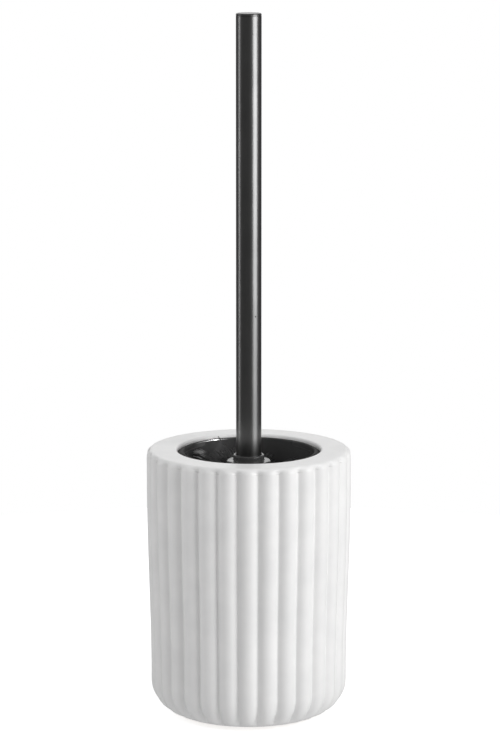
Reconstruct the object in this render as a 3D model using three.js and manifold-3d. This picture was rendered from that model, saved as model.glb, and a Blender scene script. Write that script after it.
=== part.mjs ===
// A toilet brush standing in its ribbed ceramic holder, in millimetres.
// +Z is up and the origin is on the floor, at the middle of the holder.
// A plastic liner hangs in the holder's mouth, the brush stands in the liner,
// and the steel handle screws into the brush head.
import * as THREE from "three";
import { mergeVertices } from "three/addons/utils/BufferGeometryUtils.js";
import Module from "manifold-3d";

const wasm = await Module();
wasm.setup();

// ---- Driving dimensions ----

const SEAT_GAP = 0.3; // between two pieces that rest on each other
const MERGE_DISTANCE = 1e-4; // vertices nearer than this are one

// Ceramic holder
const HOLDER_HEIGHT = 130.5;
const RIM_RADIUS = 50; // over the ribs, at the top
const DRAW_IN = 1.95; // how much less the radius is at the base than at the rim
const DRAW_IN_FROM = 0.14; // of the height, from the rim, where the wall starts to draw in
const DRAW_IN_TO = 0.84; // and where it has done so
const BOTTOM_ROUNDING = 16.5;
const RIM_ROUNDING = 2.7;
const MOUTH_ROUNDING = 1.1;
const HOLDER_WALL = 5.5; // behind the ribs' crests
const HOLDER_FLOOR = 6;
const SHOULDER_THICKNESS = 8;
const SHOULDER_SLOPE = 3; // how far the shoulder's underside drops towards the wall
const MOUTH_RADIUS = 35.2;
const LEDGE_DEPTH = 3.6; // from the rim down to the ledge that carries the liner
const LEDGE_WIDTH = 1.3;
const FOOT_RECESS_RADIUS = 19;
const FOOT_RECESS_DEPTH = 1.5;
const RIB_COUNT = 30;
const RIB_DEPTH = 1.9;
const RIB_START = 0.1; // from the rim's rounding down to the first trace of a groove
const RIB_RUN_OUT = 3; // height over which a groove gets its depth
const STEPS_PER_RIB = 4;

// Foot pads
const PAD_COUNT = 4;
const PAD_RADIUS = 5.5;
const PAD_HEIGHT = 1;
const PAD_EDGE = 0.25; // chamfer
const PAD_CIRCLE = 25.5; // radius on which the pads are glued

// Liner
const LINER_CLEARANCE = 0.4; // to the holder's mouth and ledge, all round
const LINER_WALL = 1.6;
const LINER_FLOOR = 2;
const LINER_GROUND_CLEARANCE = 14; // underside to the holder's floor
const LINER_DRAFT = 0.6; // how much the radius shrinks from top to bottom
const LINER_CORNER = 6;
const LIP_RECESS = 1.3; // lip top below the rim
const LIP_BEAD = 0.6; // rounding of the lip's inner edge, its highest part
const LIP_FALL = 1.6; // from there down to the lip's outer edge

// Brush head
const DISC_DROP = 5.7; // the head's top disc below the rim
const DISC_OVERHANG = 0.7; // over the core
const DISC_THICKNESS = 3;
const DISC_EDGE = 0.9;
const CORE_RADIUS = 10.2;
const CORE_ROUNDING = 5;
const COLLAR_HEIGHT = 2.9; // above the disc
const COLLAR_WALL = 1.2;
const COLLAR_EDGE = 0.7;
const SOCKET_DEPTH = 9; // from the collar's top
const THREAD_RADIUS = 3.9;
const THREAD_CLEARANCE = 0.3;
const THREAD_LENGTH = 12; // below the socket's floor
const THREAD_PITCH = 2;
const THREAD_TURNS = 5;
const STUD_CHAMFER = 0.6;

// Tufts
const ROWS = 12;
const TUFTS_PER_ROW = 10;
const TUFT_ROOT_WIDTH = 3.4;
const TUFT_TIP_WIDTH = 8;
const TUFT_ROOT_HEIGHT = 3.2;
const TUFT_TIP_HEIGHT = 4.6;
const TUFT_COLLAR = 1.2; // ring that joins a row's tufts at their roots
const TUFT_CLEARANCE = 1.1; // bristle ends to the liner's wall
const FAN_UP = 6; // degrees, top row
const FAN_DOWN = 34; // degrees, bottom row
const FIRST_ROW_DROP = 4.4; // below the disc
const LAST_ROW_RISE = 4.2; // above the core's lower end
const END_TUFT_LENGTH = 13;
const END_TUFT_ROOT_RADIUS = 8.5;
const END_TUFT_TIP_RADIUS = 15.5;
const END_TUFT_EDGE = 2; // chamfer
const END_TUFTS = 8;
const END_TUFT_NOTCH = 0.14; // depth of the notches between the end tufts, as a share of the radius

// Handle
const HANDLE_ABOVE_RIM = 211.8;
const TUBE_RADIUS = 6.15;
const TUBE_WALL = 0.8;
const TUBE_CLEARANCE = 0.25; // in the head's socket
const CAP_HEIGHT = 1;
const CAP_EDGE = 0.6;
const CAP_SEAM = 0.15;
const PLUG_FIT = 0.3; // between the tube's bore and what is pressed into it
const CAP_PLUG_LENGTH = 9;
const INSERT_LENGTH = 24;
const SEAL_THICKNESS = 1.2;

// Facets round a full turn
const MANY = 48;
const SOME = 32;
const FEW = 20;

// ---- Heights worked out from them ----

const holderBase = PAD_HEIGHT + SEAT_GAP;
const rimTop = holderBase + HOLDER_HEIGHT;
const floorTop = holderBase + HOLDER_FLOOR;
const ledgeTop = rimTop - LEDGE_DEPTH;
const lipTop = rimTop - LIP_RECESS;
const lipBottom = ledgeTop + SEAT_GAP;
const linerBottom = floorTop + LINER_GROUND_CLEARANCE;
const linerFloorTop = linerBottom + LINER_FLOOR;
const discTop = rimTop - DISC_DROP;
const discBottom = discTop - DISC_THICKNESS;
const collarTop = discTop + COLLAR_HEIGHT;
const socketFloor = collarTop - SOCKET_DEPTH;
const threadEnd = socketFloor - THREAD_LENGTH;
const tuftEnd = linerFloorTop + SEAT_GAP;
const coreBottom = tuftEnd + END_TUFT_LENGTH + SEAT_GAP;
const sealBottom = socketFloor + SEAT_GAP;
const tubeBottom = sealBottom + SEAL_THICKNESS + SEAT_GAP;
const handleTop = rimTop + HANDLE_ABOVE_RIM;
const capBottom = handleTop - CAP_HEIGHT;
const tubeTop = capBottom - CAP_SEAM;

// ---- Radii worked out from them ----

const baseRadius = RIM_RADIUS - DRAW_IN;
const ledgeRadius = MOUTH_RADIUS - LEDGE_WIDTH;
const lipRadius = MOUTH_RADIUS - LINER_CLEARANCE;
const linerRadius = ledgeRadius - LINER_CLEARANCE;
const linerFootRadius = linerRadius - LINER_DRAFT;
const bristleRadius = linerFootRadius - LINER_WALL - TUFT_CLEARANCE;
const socketRadius = TUBE_RADIUS + TUBE_CLEARANCE;
const collarRadius = socketRadius + COLLAR_WALL;
const discRadius = CORE_RADIUS + DISC_OVERHANG;
const tubeBore = TUBE_RADIUS - TUBE_WALL;
const plugRadius = tubeBore - PLUG_FIT;
const tuftRoot = CORE_RADIUS + SEAT_GAP;

// ---- Helpers ----

const clamp01 = (t) => Math.min(1, Math.max(0, t));
const smooth = (t) => clamp01(t) ** 2 * (3 - 2 * clamp01(t));
const degrees = (a) => (a * Math.PI) / 180;

// Points of a circular arc in the half plane of radius and height, angles in degrees.
function arc(radius, height, r, from, to, steps = 4) {
  const points = [];
  for (let i = 0; i <= steps; i++) {
    const a = degrees(from + ((to - from) * i) / steps);
    points.push([radius + r * Math.cos(a), height + r * Math.sin(a)]);
  }
  return points;
}

// A profile of [radius, height] points turned about Z.
function turned(profile, facets = MANY) {
  const points = profile.map(([r, z]) => new THREE.Vector2(r, z));
  return new THREE.LatheGeometry(points, facets).rotateX(Math.PI / 2);
}

function piece(name, geometry, material) {
  const mesh = new THREE.Mesh(geometry, material);
  mesh.name = name;
  return mesh;
}

// A geometry as a manifold-3d solid.
function solid(geometry) {
  const bare = geometry.clone();
  bare.deleteAttribute("normal");
  bare.deleteAttribute("uv");
  const merged = mergeVertices(bare, MERGE_DISTANCE);
  return new wasm.Manifold(
    new wasm.Mesh({
      numProp: 3,
      vertProperties: new Float32Array(merged.attributes.position.array),
      triVerts: new Uint32Array(merged.index.array),
    }),
  );
}

// The first geometry with the others cut out of it.
function cut(body, ...tools) {
  const left = tools.reduce((rest, tool) => rest.subtract(solid(tool)), solid(body));
  const mesh = left.getMesh();
  const made = new THREE.BufferGeometry();
  made.setAttribute("position", new THREE.BufferAttribute(mesh.vertProperties, 3));
  made.setIndex(new THREE.BufferAttribute(mesh.triVerts, 1));
  made.computeVertexNormals();
  return made;
}

// ---- Materials ----

function finish(color, roughness, metalness = 0) {
  return new THREE.MeshStandardMaterial({ color, roughness, metalness });
}

const glaze = finish(0xeeeeec, 0.45);
const linerBlack = finish(0x141414, 0.12);
const headBlack = finish(0x1a1a1a, 0.3);
const bristleBlack = finish(0x121212, 0.55);
const gunmetal = finish(0x3a3a3b, 0.35, 0.9);
const capBlack = finish(0x2c2c2d, 0.4, 0.8);
const insertGrey = finish(0x4a4a4a, 0.5);
const rubber = finish(0x202020, 0.8);
const foam = finish(0xb9b9b6, 0.9);

// ---- Ceramic holder ----

// Radius over the ribs, at a share of the height below the rim: straight, then eased in, then straight.
function wallRadius(share) {
  return RIM_RADIUS - DRAW_IN * smooth((share - DRAW_IN_FROM) / (DRAW_IN_TO - DRAW_IN_FROM));
}

// Points down the drawn-in stretch of a wall, from its lower end up, moved in by a thickness.
function drawnWall(inwards, steps) {
  const points = [];
  for (let i = steps; i >= 0; i--) {
    const share = DRAW_IN_FROM + ((DRAW_IN_TO - DRAW_IN_FROM) * i) / steps;
    points.push([wallRadius(share) - inwards, rimTop - share * HOLDER_HEIGHT]);
  }
  return points;
}

// How far below its crest a rib's round face lies, at a share 0 to 1 of the way from groove to groove.
function ribDrop(share) {
  const halfWidth = (Math.PI * RIM_RADIUS) / RIB_COUNT;
  const faceRadius = (halfWidth ** 2 + RIB_DEPTH ** 2) / (2 * RIB_DEPTH);
  const across = (2 * share - 1) * halfWidth;
  return faceRadius - Math.sqrt(faceRadius ** 2 - across ** 2);
}

// The outer shape without its hollow. The grooves run out under the rim and on the bottom rounding.
function ribbedBody() {
  const grooveTop = rimTop - RIM_ROUNDING - RIB_START;
  const runOut = [grooveTop - RIB_RUN_OUT, grooveTop - RIB_RUN_OUT / 2, grooveTop];
  const profile = [
    [0, holderBase],
    ...arc(baseRadius - BOTTOM_ROUNDING, holderBase + BOTTOM_ROUNDING, BOTTOM_ROUNDING, -90, 0, 5),
    ...drawnWall(0, 3),
    ...runOut.map((z) => [RIM_RADIUS, z]),
    ...arc(RIM_RADIUS - RIM_ROUNDING, rimTop - RIM_ROUNDING, RIM_ROUNDING, 0, 90, 3),
    [0, rimTop],
  ];
  const body = turned(profile, RIB_COUNT * STEPS_PER_RIB);
  const at = body.attributes.position;
  for (let i = 0; i < at.count; i++) {
    const [x, y, z] = [at.getX(i), at.getY(i), at.getZ(i)];
    const radius = Math.hypot(x, y);
    if (radius < baseRadius - BOTTOM_ROUNDING) continue;
    const turn = Math.atan2(y, x) / (2 * Math.PI) + 1;
    const share = (turn * RIB_COUNT) % 1;
    const underRim = smooth((grooveTop - z) / RIB_RUN_OUT);
    const overBase = smooth((radius - (baseRadius - BOTTOM_ROUNDING)) / BOTTOM_ROUNDING);
    const kept = 1 - (ribDrop(share) * underRim * overBase) / radius;
    at.setXY(i, x * kept, y * kept);
  }
  return body;
}

function holderMouth() {
  const above = rimTop + MOUTH_ROUNDING;
  return turned(
    [
      [0, ledgeTop],
      [MOUTH_RADIUS, ledgeTop],
      ...arc(MOUTH_RADIUS + MOUTH_ROUNDING, rimTop - MOUTH_ROUNDING, MOUTH_ROUNDING, 180, 90, 3),
      [MOUTH_RADIUS + MOUTH_ROUNDING, above],
      [0, above],
    ],
    MANY,
  );
}

function holderCavity() {
  const ceiling = rimTop - SHOULDER_THICKNESS;
  const eaves = ceiling - SHOULDER_SLOPE;
  const corner = BOTTOM_ROUNDING - HOLDER_WALL;
  const footRadius = baseRadius - HOLDER_WALL;
  return turned(
    [
      [0, floorTop],
      ...arc(footRadius - corner, floorTop + corner, corner, -90, 0, 3),
      ...drawnWall(HOLDER_WALL, 1),
      [RIM_RADIUS - HOLDER_WALL, eaves],
      [ledgeRadius, ceiling],
      [ledgeRadius, ledgeTop + LEDGE_DEPTH / 2],
      [0, ledgeTop + LEDGE_DEPTH / 2],
    ],
    MANY,
  );
}

function footRecess() {
  const recessTop = holderBase + FOOT_RECESS_DEPTH;
  const below = holderBase - FOOT_RECESS_DEPTH;
  const side = [
    [FOOT_RECESS_RADIUS + FOOT_RECESS_DEPTH, below],
    [FOOT_RECESS_RADIUS, recessTop],
  ];
  return turned([[0, below], ...side, [0, recessTop]], SOME);
}

function footPad() {
  const profile = [
    [0, 0],
    [PAD_RADIUS - PAD_EDGE, 0],
    [PAD_RADIUS, PAD_EDGE],
    [PAD_RADIUS, PAD_HEIGHT],
    [0, PAD_HEIGHT],
  ];
  return turned(profile, FEW);
}

function holder() {
  const group = new THREE.Group();
  const pot = cut(ribbedBody(), holderMouth(), holderCavity(), footRecess());
  group.add(piece("ceramic_holder", pot, glaze));
  for (let i = 0; i < PAD_COUNT; i++) {
    const a = (2 * Math.PI * (i + 0.5)) / PAD_COUNT;
    const pad = piece(`foot_pad_${i + 1}`, footPad(), foam);
    pad.position.set(PAD_CIRCLE * Math.cos(a), PAD_CIRCLE * Math.sin(a), 0);
    group.add(pad);
  }
  return group;
}

// ---- Liner: a deep cup that hangs by its lip ----

function liner() {
  const innerCorner = LINER_CORNER - LINER_WALL;
  const innerFoot = linerFootRadius - LINER_WALL;
  const innerTop = linerRadius - LINER_WALL;
  const profile = [
    [0, linerBottom],
    ...arc(linerFootRadius - LINER_CORNER, linerBottom + LINER_CORNER, LINER_CORNER, -90, 0, 4),
    [linerRadius, lipBottom],
    [lipRadius, lipBottom],
    [lipRadius, lipTop - LIP_FALL],
    ...arc(innerTop + LIP_BEAD, lipTop - LIP_BEAD, LIP_BEAD, 54, 180, 5),
    ...arc(innerFoot - innerCorner, linerFloorTop + innerCorner, innerCorner, 0, -90, 4),
    [0, linerFloorTop],
  ];
  return piece("liner_cup", turned(profile, MANY), linerBlack);
}

// ---- Brush head: a moulded core with rows of tufts ----

function headCore() {
  const profile = [
    [0, coreBottom],
    ...arc(CORE_RADIUS - CORE_ROUNDING, coreBottom + CORE_ROUNDING, CORE_ROUNDING, -90, 0, 3),
    [CORE_RADIUS, discBottom],
    [discRadius, discBottom],
    ...arc(discRadius - DISC_EDGE, discTop - DISC_EDGE, DISC_EDGE, 0, 90, 3),
    [collarRadius, discTop],
    ...arc(collarRadius - COLLAR_EDGE, collarTop - COLLAR_EDGE, COLLAR_EDGE, 0, 90, 2),
    [socketRadius, collarTop],
    [socketRadius, socketFloor],
    [THREAD_RADIUS + THREAD_CLEARANCE, socketFloor],
    [THREAD_RADIUS + THREAD_CLEARANCE, threadEnd],
    [0, threadEnd],
  ];
  return piece("head_core", turned(profile, SOME), headBlack);
}

// Angle above the horizontal of row number i, counted from the top: the rows fan out at both ends.
function fanAngle(i) {
  const t = (2 * i) / (ROWS - 1) - 1;
  return t < 0 ? FAN_UP * t * t : -FAN_DOWN * t * t;
}

// One row: its tufts as flaring arms on a thin ring round the core.
function tuftRow(i) {
  const firstRow = discBottom - FIRST_ROW_DROP;
  const lastRow = coreBottom + LAST_ROW_RISE;
  const height = firstRow - ((firstRow - lastRow) * i) / (ROWS - 1);
  const fan = degrees(fanAngle(i));
  const ringRadius = tuftRoot + TUFT_COLLAR;
  const tip = tuftRoot + (bristleRadius - tuftRoot) * Math.cos(fan);
  const stagger = i % 2 ? Math.PI / TUFTS_PER_ROW : 0;

  const outline = new THREE.Shape();
  for (let k = 0; k < TUFTS_PER_ROW; k++) {
    const a = (2 * Math.PI * k) / TUFTS_PER_ROW + stagger;
    const corners = [
      [ringRadius, -TUFT_ROOT_WIDTH / 2],
      [tip, -TUFT_TIP_WIDTH / 2],
      [tip, TUFT_TIP_WIDTH / 2],
      [ringRadius, TUFT_ROOT_WIDTH / 2],
    ];
    corners.forEach(([out, side], n) => {
      const x = out * Math.cos(a) - side * Math.sin(a);
      const y = out * Math.sin(a) + side * Math.cos(a);
      if (k === 0 && n === 0) outline.moveTo(x, y);
      else outline.lineTo(x, y);
    });
  }
  const bore = new THREE.Path();
  bore.absarc(0, 0, tuftRoot, 0, 2 * Math.PI, true);
  outline.holes.push(bore);

  const row = new THREE.ExtrudeGeometry(outline, {
    depth: 1,
    bevelEnabled: false,
    curveSegments: 2 * TUFTS_PER_ROW,
  });
  const at = row.attributes.position;
  for (let n = 0; n < at.count; n++) {
    const out = Math.hypot(at.getX(n), at.getY(n)) - tuftRoot;
    const share = clamp01(out / (tip - tuftRoot));
    const thick = TUFT_ROOT_HEIGHT + (TUFT_TIP_HEIGHT - TUFT_ROOT_HEIGHT) * share;
    at.setZ(n, (at.getZ(n) - 0.5) * thick + out * Math.tan(fan));
  }
  const name = `tuft_row_${String(i + 1).padStart(2, "0")}`;
  const mesh = piece(name, row, bristleBlack);
  mesh.position.z = height;
  return mesh;
}

// The tufts that point down from the core's end, as one notched cone.
function endTufts() {
  const profile = [
    [0, tuftEnd],
    [END_TUFT_TIP_RADIUS - END_TUFT_EDGE, tuftEnd],
    [END_TUFT_TIP_RADIUS, tuftEnd + END_TUFT_EDGE],
    [END_TUFT_ROOT_RADIUS, tuftEnd + END_TUFT_LENGTH],
    [0, tuftEnd + END_TUFT_LENGTH],
  ];
  const cone = turned(profile, 4 * END_TUFTS);
  const at = cone.attributes.position;
  for (let n = 0; n < at.count; n++) {
    const a = Math.atan2(at.getY(n), at.getX(n));
    const kept = 1 - END_TUFT_NOTCH * (0.5 - 0.5 * Math.cos(END_TUFTS * a));
    at.setXY(n, at.getX(n) * kept, at.getY(n) * kept);
  }
  return piece("tuft_end", cone, bristleBlack);
}

function brushHead() {
  const group = new THREE.Group();
  group.add(headCore());
  for (let i = 0; i < ROWS; i++) group.add(tuftRow(i));
  group.add(endTufts());
  return group;
}

// ---- Handle: a steel tube with an end cap, and the threaded insert that screws into the head ----

function sealRing() {
  const inner = THREAD_RADIUS + THREAD_CLEARANCE;
  const outer = TUBE_RADIUS - TUBE_CLEARANCE;
  const top = sealBottom + SEAL_THICKNESS;
  const section = [
    [inner, sealBottom],
    [outer, sealBottom],
    [outer, top],
    [inner, top],
    [inner, sealBottom],
  ];
  return piece("seal_ring", turned(section, SOME), rubber);
}

function handleTube() {
  const section = [
    [tubeBore, tubeBottom],
    [TUBE_RADIUS, tubeBottom],
    [TUBE_RADIUS, tubeTop],
    [tubeBore, tubeTop],
    [tubeBore, tubeBottom],
  ];
  return piece("handle_tube", turned(section, SOME), gunmetal);
}

function endCap() {
  const profile = [
    [0, tubeTop - CAP_PLUG_LENGTH],
    [plugRadius, tubeTop - CAP_PLUG_LENGTH],
    [plugRadius, capBottom],
    [TUBE_RADIUS, capBottom],
    ...arc(TUBE_RADIUS - CAP_EDGE, handleTop - CAP_EDGE, CAP_EDGE, 0, 90, 3),
    [0, handleTop],
  ];
  return piece("handle_end_cap", turned(profile, SOME), capBlack);
}

function threadedInsert() {
  const threadBottom = socketFloor - THREAD_PITCH * THREAD_TURNS;
  const profile = [
    [0, threadBottom],
    [THREAD_RADIUS - STUD_CHAMFER, threadBottom],
    [THREAD_RADIUS, threadBottom + STUD_CHAMFER],
    [THREAD_RADIUS, tubeBottom],
    [plugRadius, tubeBottom],
    [plugRadius, tubeBottom + INSERT_LENGTH],
    [0, tubeBottom + INSERT_LENGTH],
  ];
  return piece("threaded_insert", turned(profile, SOME), insertGrey);
}

function handle() {
  const group = new THREE.Group();
  group.add(handleTube(), endCap(), threadedInsert());
  return group;
}

// ---- The whole ----

const brushAndHolder = new THREE.Group();
brushAndHolder.add(holder(), liner(), brushHead(), sealRing(), handle());

export default brushAndHolder;
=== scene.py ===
# %% [markdown]
# # A toilet brush in its ribbed holder
# The object is a white ceramic pot with thirty round ribs. A glossy black liner hangs in its mouth, and a
# brush with black tufts stands in the liner on a straight gunmetal handle. The measured model comes first
# and stays fixed: it says where every piece is. Each piece below is a finer surface laid over one of its
# solids.

import math

import bpy
import numpy as np
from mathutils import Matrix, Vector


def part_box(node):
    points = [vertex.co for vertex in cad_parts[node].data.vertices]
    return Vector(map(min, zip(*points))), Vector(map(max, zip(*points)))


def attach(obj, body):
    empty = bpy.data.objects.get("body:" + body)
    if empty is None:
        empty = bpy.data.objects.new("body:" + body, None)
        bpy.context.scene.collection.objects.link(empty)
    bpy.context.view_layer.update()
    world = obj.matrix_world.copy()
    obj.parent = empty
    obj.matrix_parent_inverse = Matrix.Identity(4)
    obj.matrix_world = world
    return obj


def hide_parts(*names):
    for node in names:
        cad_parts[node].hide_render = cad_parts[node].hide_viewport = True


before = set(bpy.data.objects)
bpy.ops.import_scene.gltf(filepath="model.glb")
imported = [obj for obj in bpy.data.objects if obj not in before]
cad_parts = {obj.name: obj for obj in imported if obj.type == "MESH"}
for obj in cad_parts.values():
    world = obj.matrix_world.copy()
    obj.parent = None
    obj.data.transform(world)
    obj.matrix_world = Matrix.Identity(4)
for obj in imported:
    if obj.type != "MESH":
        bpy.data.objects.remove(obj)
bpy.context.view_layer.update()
MM = 0.001

# %% [markdown]
# ## A tool for outlines
# Most pieces here are turned: a potter's wheel, a mould and a tube mill all make round things. A turned
# piece is an outline of radius and height, swung round the upright axis. It could be a chain of Blender
# cylinders with a Bevel modifier, but real outlines mix large and small roundings. So an outline is given
# by its corners and the rounding of each, and the arcs are worked out from that.

# %% Outlines from rounded corners
ARC_STEP = math.radians(11)
NEARLY_STRAIGHT = math.radians(89.5)


def rounded(corners, step=4.0, hold=0.25):
    """An outline in mm through corners (radius, height, rounding).

    A corner between two sides becomes an arc that touches both: its centre lies on the line that halves the
    corner, at rounding / sin(half the corner). Straights are cut in steps, with a point close to either
    end, so that smooth shading stays flat on them."""
    points = np.array([c[:2] for c in corners], float)
    arcs = [points[:1]]
    for before, here, after, corner in zip(points[:-2], points[1:-1], points[2:], corners[1:-1]):
        back, on = before - here, after - here
        back, on = back / np.linalg.norm(back), on / np.linalg.norm(on)
        half = math.acos(np.clip(back @ on, -1, 1)) / 2
        if corner[2] <= 0 or half > NEARLY_STRAIGHT:
            arcs.append(here[None])
            continue
        middle = (back + on) / np.linalg.norm(back + on)
        centre = here + middle * corner[2] / math.sin(half)
        swing = math.pi / 2 - half
        across = (on - back) / np.linalg.norm(on - back)
        turn = np.linspace(-swing, swing, max(3, math.ceil(2 * swing / ARC_STEP) + 1))[:, None]
        arcs.append(centre + corner[2] * (across * np.sin(turn) - middle * np.cos(turn)))
    arcs.append(points[-1:])
    outline = [arcs[0]]
    for last, first in zip(arcs[:-1], arcs[1:]):
        start, end = last[-1], first[0]
        length = np.linalg.norm(end - start)
        near = min(hold, length / 3) / max(length, 1e-9)
        count = max(1, round(length / step))
        share = np.concatenate([[near], np.linspace(0, 1, count + 1)[1:-1], [1 - near]])
        share = share[(share >= near) & (share <= 1 - near)]
        outline.append(start + (end - start) * share[:, None])
        outline.append(first)
    return np.concatenate(outline)


print("points of a square corner, rounded by 1 mm:", len(rounded([(0, 0, 0), (5, 0, 1), (5, 5, 0)])))

# %% A ring of columns, and a mesh through rings of points
def turned(outline, columns):
    """Swings an outline round the axis: x = r cos a, y = r sin a, z = height, for even angles a."""
    angle = np.arange(columns) * 2 * math.pi / columns
    radius, height = outline[:, :1], outline[:, 1:]
    return np.stack(np.broadcast_arrays(radius * np.cos(angle), radius * np.sin(angle), height), axis=-1)


def made_from(name, points, faces):
    """A smooth mesh from points in mm and lists of corner numbers, put into the scene."""
    mesh = bpy.data.meshes.new(name)
    mesh.from_pydata((points * MM).tolist(), [], faces)
    mesh.shade_smooth()
    made = bpy.data.objects.new(name, mesh)
    bpy.context.scene.collection.objects.link(made)
    print(f"{name}: {len(mesh.vertices)} points, {len(mesh.polygons)} faces")
    return made


def skin(name, rings, ends="poles"):
    """A smooth mesh through rings of points in mm, each ring closed on itself.

    Ring i, column j joins ring i + 1 and column j + 1 in one four-sided face. With poles, the first and
    last rings are single points closed by triangles; with a loop, the last ring joins the first."""
    count, columns = rings.shape[:2]
    here = np.arange(columns)
    beside = np.roll(here, -1)
    if ends == "loop":
        flat = rings.reshape(-1, 3)
        low = np.arange(count)[:, None] * columns
        high = np.roll(low, -1, axis=0)
        caps = []
    else:
        flat = np.concatenate([rings[:1, 0], rings[1:-1].reshape(-1, 3), rings[-1:, 0]])
        low = 1 + np.arange(count - 3)[:, None] * columns
        high = low + columns
        top, last = len(flat) - 1, 1 + (count - 3) * columns
        first_cap = np.stack([np.zeros_like(here), 1 + beside, 1 + here], axis=1)
        last_cap = np.stack([np.full_like(here, top), last + here, last + beside], axis=1)
        caps = first_cap.tolist() + last_cap.tolist()
    sides = np.stack([low + here, low + beside, high + beside, high + here], axis=-1).reshape(-1, 4)
    return made_from(name, flat, sides.tolist() + caps)


def place(made, body, finish, slot, *nodes):
    """Paints a piece, hangs it on its body and hides the solids it stands for."""
    made.data.materials.append(finish)
    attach(made, body)
    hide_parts(*nodes)


def span(node):
    """Lowest and highest corner of a solid of the frame, in mm."""
    low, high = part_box(node)
    return np.array(low) / MM, np.array(high) / MM


print("a ring of four columns:", turned(np.array([[1.0, 0]]), 4).round(1).tolist())

# %% [markdown]
# ## A tool for finishes
# No real surface is one even colour. A finish could be a painted image, but an image has seams and a fixed
# sharpness. Every finish here is one shader with a little noise in its colour, its gloss and its relief.
# Noise is read from the object's own coordinates, in metres, so it stays on the piece when the piece moves.

# %% A node and its wires
def wired(tree, kind, inputs=(), **settings):
    """A new node. Its settings come first, and then each input is linked to an output or set to a value."""
    made = tree.nodes.new(kind)
    for key, value in settings.items():
        setattr(made, key, value)
    for key, value in dict(inputs).items():
        if isinstance(value, bpy.types.NodeSocket):
            tree.links.new(value, made.inputs[key])
        else:
            made.inputs[key].default_value = value
    return made

# %% Finishes from layered noise
class Finish:
    """One material: a shader, and short calls that wire noise into it."""

    def __init__(self, name, **sockets):
        """A new material whose shader's sockets get constant values: Coat_Weight=0.1 sets Coat Weight."""
        self.material = bpy.data.materials.new(name)
        self.material.use_nodes = True
        self.tree = self.material.node_tree
        self.shader = self.tree.nodes["Principled BSDF"]
        self.place = self.node("ShaderNodeTexCoord").outputs["Object"]
        self.relief = None
        for socket, value in sockets.items():
            self.shader.inputs[socket.replace("_", " ")].default_value = value

    def node(self, kind, inputs=(), **settings):
        """A new node of this material."""
        return wired(self.tree, kind, inputs, **settings)

    def stretched(self, scale):
        """The object's coordinates, scaled along each axis."""
        return self.node("ShaderNodeMapping", {"Vector": self.place, "Scale": scale}).outputs["Vector"]

    def noise(self, size_mm, detail=2.0, roughness=0.5, where=None):
        """Noise from 0 to 1 whose lumps are about size_mm across."""
        inputs = {"Vector": where or self.place, "Scale": 1 / (size_mm * MM), "Detail": detail,
                  "Roughness": roughness}
        return self.node("ShaderNodeTexNoise", inputs).outputs["Fac"]

    def between(self, value, low, high, from_low=0.35, from_high=0.65):
        """A value spread out between two others."""
        inputs = {"Value": value, "From Min": from_low, "From Max": from_high, "To Min": low, "To Max": high}
        return self.node("ShaderNodeMapRange", inputs).outputs["Result"]

    def mixed(self, share, first, second):
        """A colour between two others: inputs 0, 6 and 7 of a Mix node are its share and its two
        colours."""
        return self.node("ShaderNodeMix", {0: share, 6: first, 7: second}, data_type="RGBA").outputs[2]

    def times(self, first, second):
        """The product of two values."""
        return self.node("ShaderNodeMath", {0: first, 1: second}, operation="MULTIPLY").outputs["Value"]

    def drive(self, socket, value):
        """Links a value to a socket of the shader."""
        self.tree.links.new(value, self.shader.inputs[socket])
        return self

    def driver(self, socket):
        """The value that is already linked to a socket of the shader."""
        return self.shader.inputs[socket].links[0].from_socket

    def bump(self, height, depth_mm, strength=1.0):
        """Adds relief: height 0 to 1 stands depth_mm high."""
        inputs = {"Height": height, "Distance": depth_mm * MM, "Strength": strength}
        if self.relief is not None:
            inputs["Normal"] = self.relief
        self.relief = self.node("ShaderNodeBump", inputs).outputs["Normal"]
        return self.drive("Normal", self.relief)


def grey(value, warmth=0.0):
    """A grey, a little warmer or cooler, with full alpha."""
    return (value * (1 + warmth), value, value * (1 - warmth), 1.0)


print("a warm grey:", grey(0.5, 0.02))

# %% [markdown]
# ## The holder's shape
# The pot is slip-cast: liquid clay sets against a plaster mould, so the wall is even, the ribs are soft and
# every edge is round. The ribs could be bevelled boxes in a ring, but a mould has no seams between ribs. So
# the whole pot is one turned surface, pushed in along its own normal by the depth of the groove at each
# angle.

# %% The holder's sizes
holder_low, holder_high = span("ceramic_holder")
BASE, RIM = holder_low[2], holder_high[2]
HEIGHT = RIM - BASE
RIM_RADIUS = holder_high[0]
MOUTH_RADIUS = 35.2
LEDGE_RADIUS = 33.9
LEDGE_DEPTH = 3.6
SHOULDER = 8.0
SHOULDER_DROP = 3.0
WALL = 5.5
FLOOR = 6.0
FOOT_RECESS, RECESS_RADIUS, FOOT_RADIUS = 1.5, 18.9, 20.6
FOOT_ROUNDING = 0.8
BOTTOM_ROUNDING = 15.5
RIM_ROUNDING = 2.9
MOUTH_ROUNDING = 1.1
DRAW_IN, DRAW_IN_FROM, DRAW_IN_TO = 1.8, 0.14, 0.84
print(f"pot: {HEIGHT:.1f} mm high, {2 * RIM_RADIUS:.1f} mm across, mouth {2 * MOUTH_RADIUS:.1f} mm")


def smooth(t):
    """Eases from 0 to 1: 3 t squared less 2 t cubed."""
    t = np.clip(t, 0, 1)
    return t * t * (3 - 2 * t)

# %% The groove between two ribs
RIBS = 30
RIB_TURN = math.radians(-0.6)
GROOVE_DEPTH = 2.8
GLAZE_FILL = 0.5
FINE_STEPS = 1200


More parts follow.
